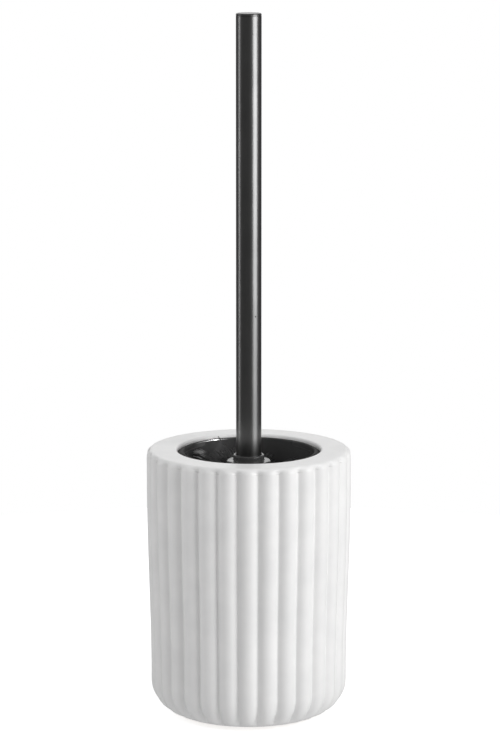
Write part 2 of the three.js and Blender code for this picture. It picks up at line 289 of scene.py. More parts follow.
def groove(share):
    """Depth below the crest, in mm, at a share 0 to 1 of the way from one valley to the next.

    A rib is an arc of a circle through both its edges, so two ribs would meet in a sharp crack. Glaze fills
    the crack: the depth is averaged over its neighbours with bell-shaped weights."""
    fine = (np.arange(FINE_STEPS) + 0.5) / FINE_STEPS
    half_width = math.pi * RIM_RADIUS / RIBS
    arc = (half_width**2 + GROOVE_DEPTH**2) / (2 * GROOVE_DEPTH)
    crack = arc - np.sqrt(arc**2 - ((2 * fine - 1) * half_width) ** 2)
    pitch = 2 * math.pi * RIM_RADIUS / RIBS
    away = np.minimum(fine - fine[0], 1 - fine + fine[0]) * pitch
    bell = np.exp(-0.5 * (away / GLAZE_FILL) ** 2)
    filled = np.fft.irfft(np.fft.rfft(crack) * np.fft.rfft(bell / bell.sum()), FINE_STEPS)
    return np.interp(share, fine, filled - filled.min(), period=1)


print("groove at the valley, a quarter and the crest:", groove(np.array([0, 0.25, 0.5])).round(2))

# %% The pot's outline
FINE_BELOW_RIM = 9


def pot_outline():
    """The pot's outline from the middle of its foot, up its outside, over the rim and down its inside.

    The rings lie closer over the last few millimetres below the rim, where the grooves begin."""
    foot = rounded([
        (0, FOOT_RECESS, 0),
        (RECESS_RADIUS, FOOT_RECESS, FOOT_ROUNDING),
        (FOOT_RADIUS, 0, FOOT_ROUNDING),
        (RIM_RADIUS - BOTTOM_ROUNDING, 0, 0),
    ])
    turn = np.linspace(-math.pi / 2, 0, 19)[1:, None]
    corner = np.array([[RIM_RADIUS - BOTTOM_ROUNDING, BOTTOM_ROUNDING]])
    bottom = corner + BOTTOM_ROUNDING * np.concatenate([np.cos(turn), np.sin(turn)], axis=1)
    heights = np.concatenate([
        np.linspace(BOTTOM_ROUNDING, HEIGHT - FINE_BELOW_RIM, 30)[1:],
        np.linspace(HEIGHT - FINE_BELOW_RIM, HEIGHT - RIM_ROUNDING, 20)[1:-1],
    ])
    side = np.stack([np.full_like(heights, RIM_RADIUS), heights], axis=1)
    inside = rounded([
        (RIM_RADIUS, HEIGHT - RIM_ROUNDING - 0.3, 0),
        (RIM_RADIUS, HEIGHT, RIM_ROUNDING),
        (MOUTH_RADIUS, HEIGHT, MOUTH_ROUNDING),
        (MOUTH_RADIUS, HEIGHT - LEDGE_DEPTH, 0.5),
        (LEDGE_RADIUS, HEIGHT - LEDGE_DEPTH, 0.5),
        (LEDGE_RADIUS, HEIGHT - SHOULDER, 1.2),
        (RIM_RADIUS - WALL, HEIGHT - SHOULDER - SHOULDER_DROP, 3),
        (RIM_RADIUS - WALL, FLOOR, BOTTOM_ROUNDING - WALL),
        (0, FLOOR, 0),
    ], step=8)
    return np.concatenate([foot, bottom, side, inside])


print("points of the outline:", len(pot_outline()))

# %% The pot
COLUMNS_PER_RIB = 22
CROWDING = 0.5
GROOVE_TOP, TOP_RUN_OUT = 0.1, 1.5
GROOVE_FOOT, FOOT_RUN_OUT = 38.5, 7.5
WOBBLE = 0.05


def pot():
    """Every point moves inward along the outline's normal by groove(angle) times a share that is 1 down the
    side and 0 on the rim and the foot. The radius is then drawn in by the ease of the height below the rim,
    and loses a wobble of 0 to 4 times WOBBLE, as hand-finished clay does. Columns crowd towards the
    valleys."""
    outline = pot_outline()
    ahead = np.gradient(outline, axis=0)
    ahead /= np.linalg.norm(ahead, axis=1, keepdims=True)
    normal = np.stack([ahead[:, 1], -ahead[:, 0]], axis=1)
    radius, height = outline.T
    outer = np.arange(len(outline)) <= np.argmax(height >= HEIGHT - 1e-6)
    under_rim = smooth((HEIGHT - GROOVE_TOP - height) / TOP_RUN_OUT)
    over_foot = smooth((radius - GROOVE_FOOT) / FOOT_RUN_OUT)
    depth = np.where(outer, under_rim * over_foot, 0)
    column = np.arange(RIBS * COLUMNS_PER_RIB) / COLUMNS_PER_RIB
    share = column % 1
    share = share - CROWDING / (2 * math.pi) * np.sin(2 * math.pi * share)
    angle = (np.floor(column) + share) * 2 * math.pi / RIBS + RIB_TURN
    pushed = outline[:, None] - normal[:, None] * (depth[:, None] * groove(share))[..., None]
    down = ((HEIGHT - height) / HEIGHT - DRAW_IN_FROM) / (DRAW_IN_TO - DRAW_IN_FROM)
    drawn = 1 - DRAW_IN / RIM_RADIUS * smooth(down)
    waves = np.sin(3 * angle + height[:, None] / 40) + np.sin(5 * angle - height[:, None] / 23)
    wobble = WOBBLE * (waves - 2)
    out = pushed[..., 0] * drawn[:, None] + wobble * (radius[:, None] > LEDGE_RADIUS - 1)
    up = pushed[..., 1] + BASE
    return np.stack([out * np.cos(angle), out * np.sin(angle), up], axis=-1)

# %% [markdown]
# ## The holder's glaze
# A satin glaze scatters light softly: it has a broad sheen and hardly any mirror image. It could be one
# even white, but close up it has a fine grain, a few pinholes, and slow changes of tone where it ran
# thicker. Three sizes of noise give those, and a thin clear coat gives the sheen. The ring that stands on
# the shelf in the kiln is bare clay, so the colour changes with height there.

# %% White satin glaze
def white_glaze():
    """White glaze with slow tones, fine grain and pinholes, and bare clay below a height."""
    glaze = Finish("white_satin_glaze", Roughness=0.5, IOR=1.5, Coat_Weight=0.12, Coat_Roughness=0.12)
    grain = glaze.noise(0.45, 3, 0.6)
    flow = glaze.noise(14, 3, 0.5)
    tone = glaze.mixed(glaze.between(flow, 0, 1), grey(0.80, 0.002), grey(0.84, 0.004))
    height = glaze.node("ShaderNodeSeparateXYZ", {"Vector": glaze.place}).outputs["Z"]
    bare = glaze.between(height, 1, 0, (BASE + 0.35) * MM, (BASE + 0.7) * MM)
    glaze.drive("Base Color", glaze.mixed(bare, tone, grey(0.62, 0.05)))
    glaze.drive("Roughness", glaze.between(grain, 0.42, 0.54))
    pinhole = glaze.between(glaze.noise(1.1, 1, 0.4), 0, 1, 0.74, 0.80)
    glaze.bump(flow, 0.02, 0.5).bump(grain, 0.012, 0.6).bump(pinhole, -0.04, 0.6)
    return glaze.material


place(skin("holder", pot()), "holder", white_glaze(), "white_glaze", "ceramic_holder")

# %% [markdown]
# ## Foot pads
# Glued foam pads keep the pot off the tiles. A pad could be a plain cylinder, but it is slightly squeezed,
# so its side bulges. It is turned like the pot, with one more corner halfway up, and moved to its own
# place.

# %% The pads
def foam():
    """Grey foam, whose cells show in its colour and relief."""
    pad = Finish("foam", Roughness=0.9)
    cell = pad.noise(0.5, 2, 0.7)
    pad.drive("Base Color", pad.mixed(cell, grey(0.40, 0.01), grey(0.56, 0.01)))
    pad.bump(cell, 0.08, 0.8)
    return pad.material


GLUE_GAP = 0.02


def foot_pad(name, finish):
    """A turned pad as wide as its solid, whose side bulges to the full radius at half its height."""
    low, high = span(name)
    middle = (low + high) / 2
    radius = (high[0] - low[0]) / 2
    top = BASE - GLUE_GAP
    outline = rounded([
        (0, 0, 0),
        (radius - 0.12, 0, 0.3),
        (radius, top / 2, 0.5),
        (radius - 0.2, top, 0.25),
        (0, top, 0),
    ], step=1.5)
    rings = turned(outline, 48) + np.array([middle[0], middle[1], 0])
    place(skin(f"pad_{name[-1]}", rings), "holder", finish, "foot_foam", name)


pad_foam = foam()
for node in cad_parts:
    if node.startswith("foot_pad"):
        foot_pad(node, pad_foam)

# %% [markdown]
# ## The liner
# The liner is an injection-moulded cup. It catches the drips, and it hangs by its lip in a step of the
# pot's mouth. It could be a tapered cylinder with a Solidify modifier, but its lip has a shape of its own:
# a small bead inside, and a fall to the outer edge. So its outline is drawn once and turned. Its walls lean
# in by half a degree, so that it leaves its mould.

# %% The liner's shape
liner_low, liner_high = span("liner_cup")
LIP_RADIUS, LIP_TOP = liner_high[0], liner_high[2]
LIP_BOTTOM = RIM - LEDGE_DEPTH + 0.1
LINER_WALL = 1.6
LINER_FLOOR = 2.0
LINER_RADIUS = 33.5
LINER_DRAFT = 0.6
LIP_FALL = 0.7
BEAD = 0.7
BEAD_CORNER = 0.75


def liner_outline():
    """The cup from the middle of its underside, out and up to the lip, and down inside to the middle of its
    floor. The bead's corner stands above the lip's top, and its rounding takes that height off again."""
    foot = LINER_RADIUS - LINER_DRAFT
    return rounded([
        (0, liner_low[2], 0),
        (foot, liner_low[2], 6),
        (LINER_RADIUS, LIP_BOTTOM, 0.25),
        (LIP_RADIUS, LIP_BOTTOM, 0.25),
        (LIP_RADIUS, LIP_TOP - LIP_FALL, 0.2),
        (LINER_RADIUS - LINER_WALL, LIP_TOP + BEAD_CORNER, BEAD),
        (foot - LINER_WALL, liner_low[2] + LINER_FLOOR, 4.4),
        (0, liner_low[2] + LINER_FLOOR, 0),
    ], step=5)


print(f"liner: lip {2 * LIP_RADIUS:.1f} mm across, {liner_high[2] - liner_low[2]:.1f} mm deep")

# %% [markdown]
# Moulded black plastic is glossy but never perfect: the melt leaves faint flow lines, and use leaves a haze
# of fine scuffs. A mirror-smooth black would look like glass. So the gloss changes a little with a cloudy
# noise, and the same noise gives a very low relief.

# %% Glossy black plastic
def glossy_black(name, tone=0.055, roughness=0.16, scuff_mm=9):
    """Moulded plastic: nearly black and glossy, with clouds scuff_mm across and a fine grain."""
    plastic = Finish(name, Roughness=roughness, IOR=1.5)
    cloud = plastic.noise(scuff_mm, 4, 0.6)
    fine = plastic.noise(0.35, 2, 0.5)
    plastic.drive("Base Color", plastic.mixed(plastic.between(cloud, 0, 1), grey(tone), grey(tone * 1.12)))
    plastic.drive("Roughness", plastic.between(cloud, roughness * 0.75, roughness * 1.5))
    plastic.bump(cloud, 0.03, 0.35).bump(fine, 0.004, 0.5)
    return plastic


GRIP_SIDES = (20, 27)
GRIP_BELOW_LIP = (2.6, 1.9)


def liner_black():
    """The liner is lifted by the sides of its lip, so the lip is dull there: roughness goes up and shine
    goes down over a band at the lip's top, wherever it is more than about 24 mm to the left or right."""
    plastic = glossy_black("liner_black")
    split = plastic.node("ShaderNodeSeparateXYZ", {"Vector": plastic.place}).outputs
    aside = plastic.node("ShaderNodeMath", {0: split["X"]}, operation="ABSOLUTE").outputs["Value"]
    on_side = plastic.between(aside, 0, 1, *(side * MM for side in GRIP_SIDES))
    on_lip = plastic.between(split["Z"], 0, 1, *((LIP_TOP - below) * MM for below in GRIP_BELOW_LIP))
    worn = plastic.times(on_side, on_lip)
    plastic.drive("Roughness", plastic.between(worn, plastic.driver("Roughness"), 0.6, 0, 1))
    plastic.drive("Specular IOR Level", plastic.between(worn, 0.5, 0.03, 0, 1))
    return plastic.material


liner = skin("liner", turned(liner_outline(), 288))
place(liner, "liner", liner_black(), "liner_black", "liner_cup")

# %% [markdown]
# ## The brush head
# The head is a moulded core with a disc at its top and a collar that takes the handle. Each tuft is folded
# over a wire and driven into a hole, which leaves a small dimple. The holes could be cut with a Boolean
# modifier, but that leaves ragged shading. So the core is turned, and the dimples are pressed into it by a
# formula. The rows themselves are measured on the solids they stand for.

# %% The rows of tufts, read from the frame
ROW_NODES = sorted(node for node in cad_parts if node.startswith("tuft_row"))
TUFTS = 10


def row_line(node):
    """(root radius, root height, tip radius, tip height) of a row: means of its inner and outer points."""
    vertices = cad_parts[node].data.vertices
    points = np.empty(len(vertices) * 3)
    vertices.foreach_get("co", points)
    points = points.reshape(-1, 3) / MM
    out = np.hypot(points[:, 0], points[:, 1])
    root, tip = out < out.min() + 0.2, out > out.max() - 0.2
    return out[root].mean(), points[root, 2].mean(), out[tip].mean(), points[tip, 2].mean()


rows = [row_line(node) for node in ROW_NODES]
print("rows:", len(rows), "from height", round(rows[0][1], 1), "to", round(rows[-1][1], 1), "mm")


def tuft_angles(row):
    """Angles of a row's tufts: even steps, with every second row turned by half a step."""
    return (np.arange(TUFTS) + (row % 2) / 2) * 2 * math.pi / TUFTS

# %% The core
head_low, head_high = span("head_core")
COLLAR_TOP = head_high[2]
DISC_TOP = COLLAR_TOP - 2.9
DISC_THICKNESS = 3
DISC_RADIUS = head_high[0]
CORE_RADIUS = DISC_RADIUS - 0.7
COLLAR_RADIUS = 7.6
SOCKET_RADIUS = 6.4
SOCKET_FLOOR = COLLAR_TOP - 9
SCREW_HOLE = 4.2
HOLE_FLOOR = SOCKET_FLOOR - 12
DIMPLE_DEPTH, DIMPLE_SPREAD = 0.5, 1.9


def core_rings():
    """The core's outline turned, then pressed in at each tuft by depth times exp(-(distance / spread)
    squared)."""
    outline = rounded([
        (0, head_low[2], 0),
        (CORE_RADIUS, head_low[2], 5),
        (CORE_RADIUS, DISC_TOP - DISC_THICKNESS, 0.3),
        (DISC_RADIUS, DISC_TOP - DISC_THICKNESS, 0.4),
        (DISC_RADIUS, DISC_TOP, 0.9),
        (COLLAR_RADIUS, DISC_TOP, 0.3),
        (COLLAR_RADIUS, COLLAR_TOP, 0.7),
        (SOCKET_RADIUS, COLLAR_TOP, 0.35),
        (SOCKET_RADIUS, SOCKET_FLOOR, 0.2),
        (SCREW_HOLE, SOCKET_FLOOR, 0.2),
        (SCREW_HOLE, HOLE_FLOOR, 0.3),
        (0, HOLE_FLOOR, 0),
    ], step=0.8)
    rings = turned(outline, 180)
    angle = np.arctan2(rings[..., 1], rings[..., 0])
    on_side = np.abs(outline[:, 0] - CORE_RADIUS)[:, None] < 0.05
    pressed = np.zeros(angle.shape)
    for row, height in enumerate(line[1] for line in rows):
        step = 2 * math.pi / TUFTS
        off = (angle - tuft_angles(row)[0] + step / 2) % step - step / 2
        away = np.hypot(off * CORE_RADIUS, rings[..., 2] - height)
        pressed += DIMPLE_DEPTH * np.exp(-((away / DIMPLE_SPREAD) ** 2))
    kept = 1 - np.where(on_side, pressed, 0) / CORE_RADIUS
    rings[..., :2] *= kept[..., None]
    return rings


head_black = glossy_black("head_black", roughness=0.2, scuff_mm=5).material
place(skin("head", core_rings()), "brush", head_black, "head_black", "head_core")

# %% [markdown]
# ## The tufts
# A tuft is a few dozen nylon filaments, a third of a millimetre thick, packed in a hole and spreading
# towards their trimmed ends. Particle hair would look right but isn't a mesh, so it wouldn't export. Here
# each filament is a thin four-sided tube along a curve, and a whole row is worked out as one array.

# %% Filaments
FILAMENT = 0.16
STATIONS = 8
dice = np.random.default_rng(20)


def bezier(first, pull, second, last):
    """Points on a cubic curve: shares of its four control points, which add up to 1."""
    t = np.linspace(0, 1, STATIONS)[None, :, None]
    first, pull, second, last = (p[:, None] for p in (first, pull, second, last))
    return (1 - t) ** 3 * first + 3 * t * (1 - t) ** 2 * pull + 3 * t * t * (1 - t) * second + t**3 * last


def filament_mesh(name, lines, thickness=FILAMENT):
    """Four-sided tubes along lines, an array of (filament, station, xyz) in mm.

    At each station two directions square to the line carry a diamond of the filament's thickness, which
    shrinks a little at the trimmed end. Both ends are closed by one face."""
    count, stations = lines.shape[:2]
    along = np.gradient(lines, axis=1)
    along /= np.linalg.norm(along, axis=2, keepdims=True)
    aside = np.cross(along, np.array([0.31, 0.17, 0.93]))
    aside /= np.linalg.norm(aside, axis=2, keepdims=True)
    over = np.cross(along, aside)
    size = thickness * np.where(np.arange(stations) == stations - 1, 0.6, 1.0)[None, :, None]
    diamond = np.stack([aside, over, -aside, -over], axis=2) * size[..., None]
    points = (lines[:, :, None] + diamond).reshape(-1, 3)
    start = np.arange(count)[:, None, None] * stations * 4
    low = np.arange(stations - 1)[None, :, None] * 4
    corner = np.arange(4)[None, None, :]
    beside = (corner + 1) % 4
    loop = [low + corner, low + beside, low + 4 + beside, low + 4 + corner]
    sides = np.stack([start + around for around in loop], axis=-1).reshape(-1, 4)
    root = start[:, 0] + np.array([3, 2, 1, 0])
    tip = start[:, 0] + (stations - 1) * 4 + np.array([0, 1, 2, 3])
    return made_from(name, points, np.concatenate([sides, root, tip]).tolist())


print("points of one filament:", 4 * STATIONS)

# %% Chance, and turning round the axis
def disc(count):
    """Random points spread evenly over a disc of radius 1."""
    radius, angle = np.sqrt(dice.random(count)), dice.random(count) * 2 * math.pi
    return np.stack([radius * np.cos(angle), radius * np.sin(angle)], axis=1)


def round_axis(points, angle):
    """Turns points (out, aside, up) to an angle round the axis."""
    out, aside, up = points.T
    x = out * np.cos(angle) - aside * np.sin(angle)
    y = out * np.sin(angle) + aside * np.cos(angle)
    return np.stack([x, y, up], axis=1)


print("(1, 0, 0) turned by a quarter:", round_axis(np.array([[1.0, 0, 0]]), math.pi / 2).round(3))

# %% One row of tufts
PER_TUFT = 44
ROOT_SPREAD = 1.5
TIP_SPREAD, TIP_HEIGHT = 4.9, 0.62
STRAY = 0.5
TRIM = 0.25


def row_lines(row):
    """Each filament starts near its tuft's root and ends on the trimmed cylinder. Its place in the tuft, a
    point of the unit disc, is scaled by the root's spread at one end and the tip's at the other, with some
    chance."""
    root_out, root_up, tip_out, tip_up = rows[row]
    count = TUFTS * PER_TUFT
    angle = np.repeat(tuft_angles(row), PER_TUFT)
    spot = disc(count)
    stray = STRAY * dice.normal(0, 1, (count, 2))
    trimmed = tip_out - TRIM - np.abs(dice.normal(0, TRIM, count))
    lean = (tip_up - root_up) / (tip_out - root_out)
    wide = spot * ROOT_SPREAD
    far = spot * TIP_SPREAD * np.array([1, TIP_HEIGHT]) + stray
    root = np.stack([np.full(count, root_out - 0.7), wide[:, 0], root_up + wide[:, 1]], axis=1)
    aside = far[:, 0]
    tip = np.stack([np.sqrt(trimmed**2 - aside**2), aside, tip_up + far[:, 1]], axis=1)
    reach = (trimmed - root_out)[:, None]
    outward = np.stack([np.ones(count), spot[:, 0] * 0.1, lean + spot[:, 1] * 0.06], axis=1)
    pull = root + reach * 0.36 * outward
    bend = dice.normal(0, 0.35, (count, 3))
    second = tip - (tip - root) * 0.3 + bend
    return bezier(*(round_axis(p, angle) for p in (root, pull, second, tip)))


print("filaments in a row:", TUFTS * PER_TUFT)

# %% [markdown]
# Nylon filament is dyed through and slightly waxy. One even black would turn the tufts into a flat dark
# shape, so the dye changes in patches of a few millimetres. A clump at the left has a pale painted highlight
# on its tips: the colour changes where a filament is both high up and far to that side.

# %% Black filament
# Where the clump's tips get the pale painted highlight: higher than about 4 mm below the lip's top, and
# further left than about 21 mm.
PAINTED_HIGHLIGHT_BELOW_LIP = (4.4, 3.9)
PAINTED_HIGHLIGHT_SIDE = (-22.5, -20.5)


def filament_black():
    """Black nylon, with a pale grey painted highlight that is kept to the clump's tips by the product of a
    height and a side mask.
    """
    filament = Finish("filament_black", Roughness=0.38, IOR=1.5)
    streak = filament.noise(2.5, 2, 0.5)
    split = filament.node("ShaderNodeSeparateXYZ", {"Vector": filament.place}).outputs
    height = filament.between(split["Z"], 0, 1, *((LIP_TOP - below) * MM for below in PAINTED_HIGHLIGHT_BELOW_LIP))
    aside = filament.between(split["X"], 1, 0, *(side * MM for side in PAINTED_HIGHLIGHT_SIDE))
    dyed_black = filament.mixed(filament.between(streak, 0, 1), grey(0.045), grey(0.08))
    # The pale grey on the clump's tips is a painted highlight, mixed in by the height and side masks.
    filament.drive("Base Color", filament.mixed(filament.times(height, aside), dyed_black, grey(0.34)))
    filament.drive("Roughness", filament.between(filament.noise(0.6), 0.3, 0.46))
    filament.bump(filament.noise(0.2), 0.01, 0.5)
    return filament.material


bristle = filament_black()
print("nodes in the black filament:", len(bristle.node_tree.nodes))

# %% [markdown]
# A used brush never stays neat. On one side of the top row some filaments stand up and out of their tufts,
# three stuck together have strayed over the liner's lip, and one clump carries a pale painted highlight on
# its tips. They could be drawn by hand, but the same curve serves for all: only where its tip ends is
# different.

# %% A filament that rises to a given tip
def rising_lines(angle, far, aside, top):
    """Filaments that leave the top row near the disc and rise to a tip at (far, aside, top), turned to an
    angle."""
    count = len(angle)
    lift = rows[0][1] + 1.2 * dice.random(count)
    root = np.stack([np.full(count, CORE_RADIUS - 0.5), dice.normal(0, 1, count), lift], axis=1)
    pull = np.stack([far * 0.52, root[:, 1] * 0.8 + aside * 0.2, lift + (top - lift) * 0.35], axis=1)
    second = np.stack([far * 0.8, root[:, 1] * 0.4 + aside * 0.6, lift + (top - lift) * 0.75], axis=1)
    tip = np.stack([far, aside, top], axis=1)
    return bezier(*(round_axis(p, angle) for p in (root, pull, second, tip)))


print("filaments rise from height", round(rows[0][1], 1), "mm")

# %% Splayed filaments in the top row
SPLAYED = 26
SPLAY_FROM, SPLAY_OVER = math.radians(96), math.radians(84)
STRAY_ANGLE, STRAY_REACH = math.radians(117), 33.5
STRAY_TIPS = np.array([(-0.25, 1.15), (0.0, 1.25), (0.25, 1.0)])
CLUMPED = 110
CLUMP_ANGLE, CLUMP_REACH, CLUMP_DROP = math.radians(147.5), 30.2, 3.6
CLUMP_DEEP, CLUMP_WIDE = 1.7, 4.0
LINER_CLEAR = 31.2


def splayed_lines():
    """Single filaments over a range of angles, tips a share of the row's reach out. A few stuck together
    end at (aside, above the lip). The clump's tips fill an ellipse, kept clear of the liner's wall."""
    angle = SPLAY_FROM + dice.random(SPLAYED) * SPLAY_OVER
    far = rows[0][2] * (0.55 + 0.4 * dice.random(SPLAYED))
    top = LIP_TOP - 1.5 - 4.5 * dice.random(SPLAYED)
    single = rising_lines(angle, far, dice.normal(0, 0.8, SPLAYED), top)
    aside, above = STRAY_TIPS.T
    count = len(STRAY_TIPS)
    strays = rising_lines(np.full(count, STRAY_ANGLE), np.full(count, STRAY_REACH), aside, LIP_TOP + above)
    spot = disc(CLUMPED)
    far = np.minimum(CLUMP_REACH + CLUMP_DEEP * spot[:, 0], LINER_CLEAR)
    top = LIP_TOP - CLUMP_DROP + 0.5 * spot[:, 0] + dice.normal(0, 0.25, CLUMPED)
    clump = rising_lines(np.full(CLUMPED, CLUMP_ANGLE), far, CLUMP_WIDE * spot[:, 1], top)
    return np.concatenate([single, strays, clump])


for row, node in enumerate(ROW_NODES):
    lines = row_lines(row)
    if row == 0:
        lines = np.concatenate([lines, splayed_lines()])
    place(filament_mesh(f"tufts_{row + 1:02d}", lines), "brush", bristle, "bristle_black", node)

# %% [markdown]
# The tufts under the core point down and spread, and stand on the liner's floor. They could be a thirteenth
# row turned on its side, but they are trimmed flat and not round, so they have a formula of their own.

# %% The end tufts
END_TUFTS, END_PER_TUFT = 8, 60
END_ROOT_RING, END_TIP_RING = 6.2, 11.6
END_ROOT_SPREAD = 1.4
END_TIP_SPREAD = (3.6, 3.8)
end_low, end_high = span("tuft_end")


def end_lines():
    """One ring of tufts and one tuft in the middle, from the core's lower end to a flat trim."""
    ring = np.repeat(np.arange(END_TUFTS) * 2 * math.pi / END_TUFTS, END_PER_TUFT)
    angle = np.concatenate([ring, np.zeros(END_PER_TUFT)])
    inner = np.concatenate([np.full(len(ring), END_ROOT_RING), np.zeros(END_PER_TUFT)])
    outer = np.concatenate([np.full(len(ring), END_TIP_RING), np.zeros(END_PER_TUFT)])
    spot = disc(len(angle))
    root_up = end_high[2] + 0.6
    trim = end_low[2] + 0.1 + np.abs(dice.normal(0, TRIM, len(angle)))
    near, far = spot * END_ROOT_SPREAD, spot * END_TIP_SPREAD
    root = np.stack([inner + near[:, 0], near[:, 1], np.full(len(angle), root_up)], axis=1)
    tip = np.stack([outer + far[:, 0], far[:, 1], trim], axis=1)
    drop = np.stack([0 * trim, 0 * trim, (root_up - trim) * 0.4], axis=1)
    second = tip + (root - tip) * 0.3 + dice.normal(0, 0.3, tip.shape)
    return bezier(*(round_axis(p, angle) for p in (root, root - drop, second, tip)))


place(filament_mesh("tufts_end", end_lines()), "brush", bristle, "bristle_black", "tuft_end")

# %% [markdown]
# ## The handle
# The handle is a thin steel tube with a satin gunmetal coat. A coat like this is dark but shiny, so it
# shows the lamps as long soft stripes. It could be a dark paint with a clear coat, but paint has a grey
# floor of scattered light and metal has none, so the shader is metallic. The stripes are slightly uneven,
# because the tube was brushed lengthwise before it was coated: that noise is stretched fifty times along
# the tube. One small nick above the rim goes through the coat.

# %% Gunmetal coat
BRUSHED_STRETCH = (1, 1, 0.02)
NICK = (3.28 * MM, -5.2 * MM, (RIM + 66) * MM)
NICK_SIZE = (0.2 * MM, 0.45 * MM)


def gunmetal(name, roughness=0.3):
    """Dark metal with brushed noise in its gloss and relief, and one small nick: a spot round a point."""
    coat = Finish(name, Metallic=1.0)
    brushed = coat.noise(0.35, 3, 0.6, coat.stretched(BRUSHED_STRETCH))
    cloud = coat.noise(7, 3, 0.5, coat.stretched((1, 1, 0.4)))
    fine = coat.noise(0.12, 2, 0.5)
    tone = coat.mixed(coat.between(cloud, 0, 1), grey(0.22), grey(0.25))
    away = coat.node("ShaderNodeVectorMath", {0: coat.place, 1: NICK}, operation="DISTANCE").outputs["Value"]
    nick = coat.between(away, 1, 0, *NICK_SIZE)
    coat.drive("Base Color", coat.mixed(nick, tone, grey(0.004)))
    coat.drive("Roughness", coat.between(brushed, roughness * 0.93, roughness * 1.07))
    coat.bump(brushed, 0.0012, 0.6).bump(fine, 0.001, 0.4).bump(nick, -0.1, 0.8)
    return coat.material


gunmetal_coat = gunmetal("gunmetal_coat")
print("nodes in the gunmetal coat:", len(gunmetal_coat.node_tree.nodes))

# %% The tube
tube_low, tube_high = span("handle_tube")
TUBE_RADIUS = tube_high[0]
BORE = TUBE_RADIUS - 0.8
FIT = 0.3
DEBURRED = 0.12
TUBE_COLUMNS = 128


def closed_section(outer, inner, low, high, rounding, step, hold=0.25):
    """A ring's section: out along its lower side, up the outside, in over the top and down the inside."""
    middle = (outer + inner) / 2
    corners = [(outer, low), (outer, high), (inner, high), (inner, low)]
    line = [(middle, low, 0)] + [(*corner, rounding) for corner in corners] + [(middle, low, 0)]
    return rounded(line, step, hold)[:-1]


tube_section = closed_section(TUBE_RADIUS, BORE, tube_low[2], tube_high[2], DEBURRED, step=4, hold=0.1)
tube = skin("tube", turned(tube_section, TUBE_COLUMNS), "loop")
place(tube, "handle", gunmetal_coat, "gunmetal_steel", "handle_tube")

# %% [markdown]
# A turned cap closes the tube. It could be a disc laid on top, but a real cap is a plug whose head is as
# wide as the tube. Only the head shows, with a hairline joint under it and a round edge. It is turned like
# the rest.

# %% The end cap
cap_low, cap_high = span("handle_end_cap")
JOINT = 0.15
CAP_ROUNDING = 0.7
CAP_SEAT = tube_high[2] + JOINT
cap_outline = rounded([
    (0, cap_low[2], 0),
    (BORE - FIT, cap_low[2], 0.6),
    (BORE - FIT, CAP_SEAT, 0.15),
    (TUBE_RADIUS, CAP_SEAT, DEBURRED),
    (TUBE_RADIUS, cap_high[2], CAP_ROUNDING),
    (0, cap_high[2], 0),
], step=1.5)
cap = skin("cap", turned(cap_outline, TUBE_COLUMNS))
place(cap, "handle", gunmetal("gunmetal_cap", roughness=0.34), "gunmetal_cap", "handle_end_cap")

# %% [markdown]
# The handle screws into the head by a plastic insert that is pressed into the tube. The thread could be a
# stack of rings, but a screw climbs: its depth depends on height and angle together, so it's one surface
# too.

# %% The threaded insert
insert_low, insert_high = span("threaded_insert")
PITCH = 2.0
STUD_RADIUS, THREAD_DEPTH = 3.9, 0.75
PLAIN_NECK, THREAD_RUN_OUT = 0.8, 1.2
PLAIN_END = 2.5


def insert_rings():
    """A turned outline whose stud is cut by depth times a soft ridge of (height / pitch less angle /
    turn)."""
    outline = rounded([
        (0, insert_low[2], 0),
        (STUD_RADIUS, insert_low[2], 0.7),
        (STUD_RADIUS, tube_low[2], 0.2),
        (BORE - FIT, tube_low[2], 0.3),
        (BORE - FIT, insert_high[2], 0.8),
        (0, insert_high[2], 0),
    ], step=0.16)
    rings = turned(outline, 72)
    angle = np.arctan2(rings[..., 1], rings[..., 0])
    phase = (rings[..., 2] / PITCH - angle / (2 * math.pi)) % 1
    ridge = smooth(np.abs(2 * phase - 1) * 1.5 - 0.25)
    below_neck = smooth((tube_low[2] - PLAIN_NECK - outline[:, 1]) / THREAD_RUN_OUT)
    stud = below_neck * (outline[:, 0] > PLAIN_END)
    rings[..., :2] *= (1 - THREAD_DEPTH / STUD_RADIUS * ridge * stud[:, None])[..., None]
    return rings


def insert_grey():
    """Dark grey glass-filled plastic, cloudy and finely grained."""
    plastic = Finish("insert_grey", Roughness=0.45)
    cloud = plastic.noise(3, 3, 0.5)
    plastic.drive("Base Color", plastic.mixed(cloud, grey(0.05), grey(0.09)))
    plastic.bump(plastic.noise(0.3), 0.01, 0.5)
    return plastic.material


place(skin("insert", insert_rings()), "handle", insert_grey(), "insert_grey", "threaded_insert")

# %% [markdown]
# A rubber washer lies between the tube's end and the floor of the head's socket, and keeps water out of the
# screw. It could be a torus, but a washer is flat with soft corners, so it is the tube's section again,
# squat.

# %% The seal ring
seal_low, seal_high = span("seal_ring")
SEAL_ROUNDING = 0.4


def seal_rubber():
    """Matt black rubber with a grey bloom."""
    rubber = Finish("seal_rubber", Roughness=0.7)
    bloom = rubber.noise(1.2, 3, 0.6)
    rubber.drive("Base Color", rubber.mixed(bloom, grey(0.012), grey(0.03)))
    rubber.bump(bloom, 0.02, 0.5)
    return rubber.material


seal_section = closed_section(seal_high[0], SCREW_HOLE, seal_low[2], seal_high[2], SEAL_ROUNDING, step=0.5)
seal = skin("seal", turned(seal_section, 96), "loop")
place(seal, "seal", seal_rubber(), "seal_rubber", "seal_ring")

# %% [markdown]
# ## Table, light and camera
# The set is a round white table in a studio. The floor could be one endless plane, but a big floor would
# show in the handle as one pale smear. So the table is small, it is hidden from reflections and from
# scattered light, and it glows a little, as a table lit from below does. The walls around it do the rest:
# they are white to look at.

# %% The table
TABLE_RADIUS = 450
TABLE_CORNERS = 96
TABLE_GLOW = 0.46


def table_white():
    """Matt white paint that glows."""
    paint = Finish("table_white", Roughness=0.9, Emission_Color=grey(1), Emission_Strength=TABLE_GLOW)
    paint.drive("Base Color", paint.mixed(paint.noise(60, 2, 0.5), grey(0.90), grey(0.92)))
    return paint.material


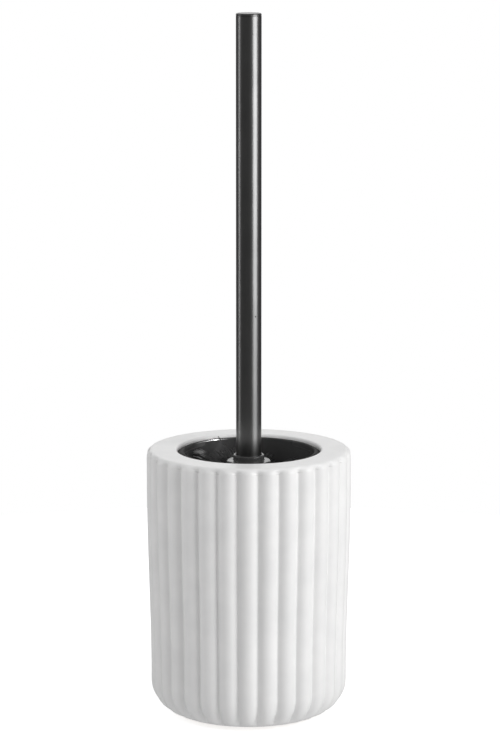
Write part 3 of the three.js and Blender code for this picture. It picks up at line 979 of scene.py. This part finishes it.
edge = np.arange(TABLE_CORNERS) * 2 * math.pi / TABLE_CORNERS
table_points = TABLE_RADIUS * np.stack([np.cos(edge), np.sin(edge), 0 * edge], axis=1)
table = made_from("table", table_points, [list(range(TABLE_CORNERS))])
table.data.materials.append(table_white())
table.visible_diffuse = False
table.visible_glossy = False

# %% [markdown]
# A studio's walls do three jobs. They could be real planes with lamps behind them, but a world can do each
# job by itself: to the camera it is plain white, matt surfaces are lit by a ramp over height that is dim at
# the level of the lamps, and glossy ones see a dim room with one white screen behind the object. Dark flags
# in a real studio do the same.

# %% The walls
SOFT_LIGHT = ((-1.0, 0.95), (-0.40, 0.78), (-0.24, 0.08), (0.06, 0.08), (0.25, 0.71), (1.0, 0.79))
DIM_ROOM = 0.10
SCREEN = 1.4
SCREEN_UP = (0.03, 0.17)
SCREEN_BEHIND = (0.84, 0.93)


def studio_walls():
    """Light by direction (x, y, z), of length 1. Scattered: a ramp over z. Reflected: DIM_ROOM plus SCREEN
    times an ease over z times an ease over y. To the camera: 1."""
    world = bpy.data.worlds.new("studio")
    world.use_nodes = True
    tree = world.node_tree
    direction = wired(tree, "ShaderNodeTexCoord").outputs["Generated"]
    axes = wired(tree, "ShaderNodeSeparateXYZ", {"Vector": direction}).outputs
    height = wired(tree, "ShaderNodeMapRange", {"Value": axes["Z"], "From Min": -1}).outputs["Result"]
    ramp = wired(tree, "ShaderNodeValToRGB", {"Fac": height})
    ramp.color_ramp.interpolation = "EASE"
    while len(ramp.color_ramp.elements) < len(SOFT_LIGHT):
        ramp.color_ramp.elements.new(0.5)
    for element, (up, bright) in zip(ramp.color_ramp.elements, SOFT_LIGHT):
        element.position = (up + 1) / 2
        element.color = grey(bright)

    def eased(value, low, high, top=1):
        """Eases from 0 to top while a value goes from low to high."""
        inputs = {"Value": value, "From Min": low, "From Max": high, "To Max": top}
        return wired(tree, "ShaderNodeMapRange", inputs, interpolation_type="SMOOTHSTEP").outputs["Result"]

    def choose(share, first, second):
        """The first value, or the second where share is 1."""
        return wired(tree, "ShaderNodeMix", {"Factor": share, "A": first, "B": second}).outputs["Result"]

    screen = {0: eased(axes["Z"], *SCREEN_UP, SCREEN), 1: eased(axes["Y"], *SCREEN_BEHIND), 2: DIM_ROOM}
    reflected = wired(tree, "ShaderNodeMath", screen, operation="MULTIPLY_ADD").outputs["Value"]
    ray = wired(tree, "ShaderNodeLightPath").outputs
    lit = choose(ray["Is Glossy Ray"], ramp.outputs["Color"], reflected)
    background = tree.nodes["Background"].inputs
    background["Color"].default_value = grey(1)
    tree.links.new(choose(ray["Is Camera Ray"], lit, 1), background["Strength"])
    return world


bpy.context.scene.world = studio_walls()
bpy.context.scene.view_settings.view_transform = "Standard"
print("nodes in the walls:", len(bpy.context.scene.world.node_tree.nodes))

# %% [markdown]
# One tall soft lamp on the right shapes the ribs, and a narrow one on the left draws the thin stripe on the
# handle. A weak wide lamp lifts the left side, and is kept out of reflections. Spot lamps would be simpler,
# but they draw hard shadows, and a tube mirrors a lamp's shape, so tall rectangles are used. Two strong
# lamps catch the back of the liner's lip alone: they are linked to the liner, and only its gloss sees them.

# %% The lamps
def lamp(name, azimuth, distance, low, high, width, radiance):
    """An upright area lamp between two heights, facing the axis. Azimuth 0 is in front, and 90 is on the
    right.

    Its power is radiance times pi times its area."""
    light = bpy.data.lights.new(name, "AREA")
    light.shape = "RECTANGLE"
    light.size, light.size_y = width, high - low
    light.energy = radiance * math.pi * width * (high - low)
    made = bpy.data.objects.new(name, light)
    turn = math.radians(azimuth)
    made.location = (distance * math.sin(turn), -distance * math.cos(turn), (low + high) / 2)
    made.rotation_euler = (math.pi / 2, 0, turn)
    bpy.context.scene.collection.objects.link(made)
    print(f"{name}: {light.energy:.1f} W")
    return made


lamp("key", azimuth=60, distance=1.6, low=-0.10, high=1.15, width=1.15, radiance=4.1)
lamp("stripe", azimuth=-94, distance=1.4, low=-0.15, high=1.0, width=0.3, radiance=1.9)
fill = lamp("fill", azimuth=-92, distance=1.5, low=-0.1, high=1.0, width=0.9, radiance=0.8)
fill.visible_glossy = False

# %% The lamps for the liner's lip
only_liner = bpy.data.collections.new("only_liner")
only_liner.objects.link(liner)
kickers = (
    lamp("kicker", azimuth=63, distance=1.6, low=0.42, high=1.35, width=0.5, radiance=130),
    lamp("kicker_wide", azimuth=80, distance=1.6, low=0.35, high=1.15, width=0.6, radiance=22),
)
for kicker in kickers:
    kicker.visible_diffuse = False
    kicker.light_linking.receiver_collection = only_liner

# %% [markdown]
# A set this tall is looked at from a metre and a half away with a long lens, which keeps the pot's sides
# nearly upright. A short lens from nearby would make the rim bulge. The camera looks down by about ten
# degrees, so that the mouth shows as a flat ellipse.

# %% The camera
LENS, SENSOR = 161.0, 36.0
LOOKS_DOWN = 10.47
camera = bpy.data.objects.new("camera", bpy.data.cameras.new("camera"))
camera.data.lens, camera.data.sensor_width = LENS, SENSOR
camera.data.clip_end = 50
camera.location = (0.0006, -1.574, 0.4623)
camera.rotation_euler = (math.radians(90 - LOOKS_DOWN), 0, 0)
bpy.context.scene.collection.objects.link(camera)
bpy.context.scene.camera = camera
print(f"the camera sees {math.degrees(camera.data.angle):.1f} degrees")
